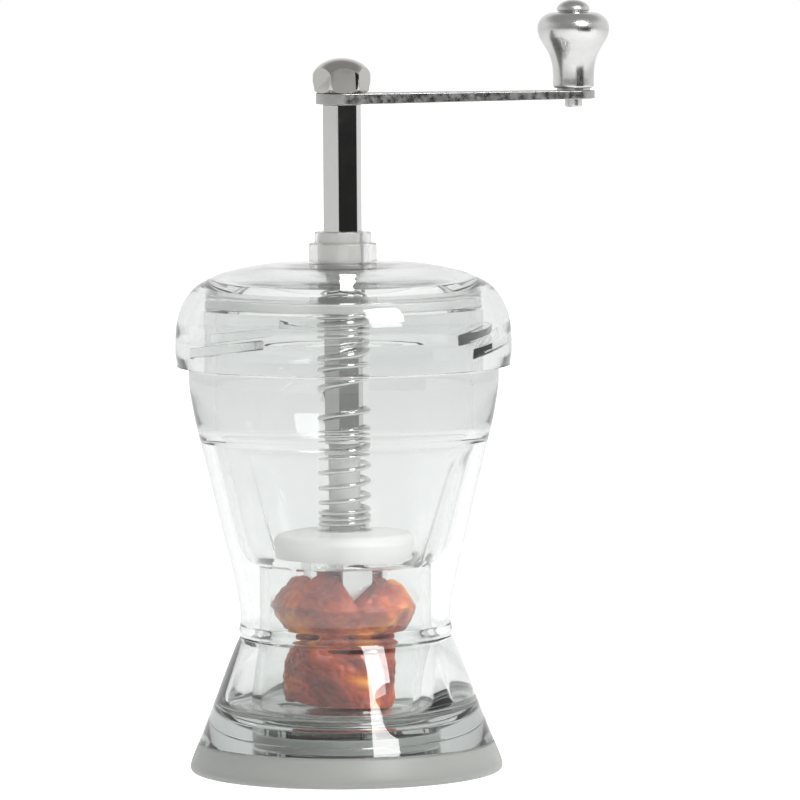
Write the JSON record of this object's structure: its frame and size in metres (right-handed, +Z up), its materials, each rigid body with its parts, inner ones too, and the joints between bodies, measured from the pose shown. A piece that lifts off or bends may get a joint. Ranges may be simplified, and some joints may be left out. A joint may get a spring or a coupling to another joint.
{
  "type": "crank spice mill",
  "caption": "Clear hand mill with a crank: a spring-loaded clawed plunger presses dried chillies on a slotted blade in a flared foot.",
  "frame": {"origin": "on the mill's axis, in the plane that it stands on", "axes": "+Z up along the drive shaft, +X along the crank arm towards the knob"},
  "size_m": [0.0899, 0.0674, 0.1538],
  "materials": {
    "clear_acrylic": "clear, polished",
    "frosted_plastic": "frosted, translucent",
    "smoke_plastic": "translucent grey, satin",
    "silicone": "translucent silicone",
    "chromed_steel": "mirror plated",
    "satin_steel": "satin",
    "knob_steel": "fine turned",
    "blade_steel": "rolled sheet",
    "spring_steel": "bright wire",
    "dried_chilli": "dry, wrinkled skin"
  },
  "bodies": {
    "housing": {"mill_body": "clear_acrylic", "flared_foot": "clear_acrylic", "blade_carrier": "clear_acrylic", "blade_disc": "blade_steel", "blade_screw_back": "satin_steel", "blade_screw_front": "satin_steel", "chilli_lower": "dried_chilli"},
    "cap": {"base_cap": "smoke_plastic"},
    "gasket": {"lid_gasket": "silicone"},
    "lid": {"lid": "clear_acrylic"},
    "bush": {"drive_bush": "frosted_plastic", "bush_collar": "frosted_plastic", "return_spring": "spring_steel"},
    "plunger": {"drive_shaft": "chromed_steel", "spring_washer": "satin_steel", "pusher": "frosted_plastic", "claw_plate": "blade_steel", "claw_nut": "satin_steel", "crank_arm": "chromed_steel", "cap_nut": "chromed_steel", "knob_pin": "satin_steel", "knob_washer": "satin_steel", "chilli_upper": "dried_chilli"},
    "knob": {"knob": "knob_steel"}
  },
  "joints": [
    {"name": "cap_pull", "type": "slide", "parent": "housing", "child": "cap", "axis": [0, 0, -1], "range_m": [0, 0.012]},
    {"name": "lid_rise", "type": "slide", "parent": "housing", "child": "gasket", "axis": [0, 0, 1], "range_m": [0, 0.0081]},
    {"name": "lid_turn", "type": "hinge", "parent": "gasket", "child": "lid", "pos_m": [0, 0, 0.09], "axis": [0, 0, 1], "range_deg": [0, 120]},
    {"name": "crank_turn", "type": "hinge", "parent": "lid", "child": "bush", "pos_m": [0, 0, 0.1], "axis": [0, 0, 1], "continuous": true},
    {"name": "plunge", "type": "slide", "parent": "bush", "child": "plunger", "axis": [0, 0, 1], "range_m": [0, 0.024], "stiffness_N_per_m": 120, "springref_m": -0.02, "deforming": ["return_spring"]},
    {"name": "knob_spin", "type": "hinge", "parent": "plunger", "child": "knob", "pos_m": [0.049, 0, 0.14], "axis": [0, 0, 1], "continuous": true}
  ],
  "couplings": [
    {"joint": "lid_rise", "follows": "lid_turn", "m_per_rad": 0.0038197}
  ]
}
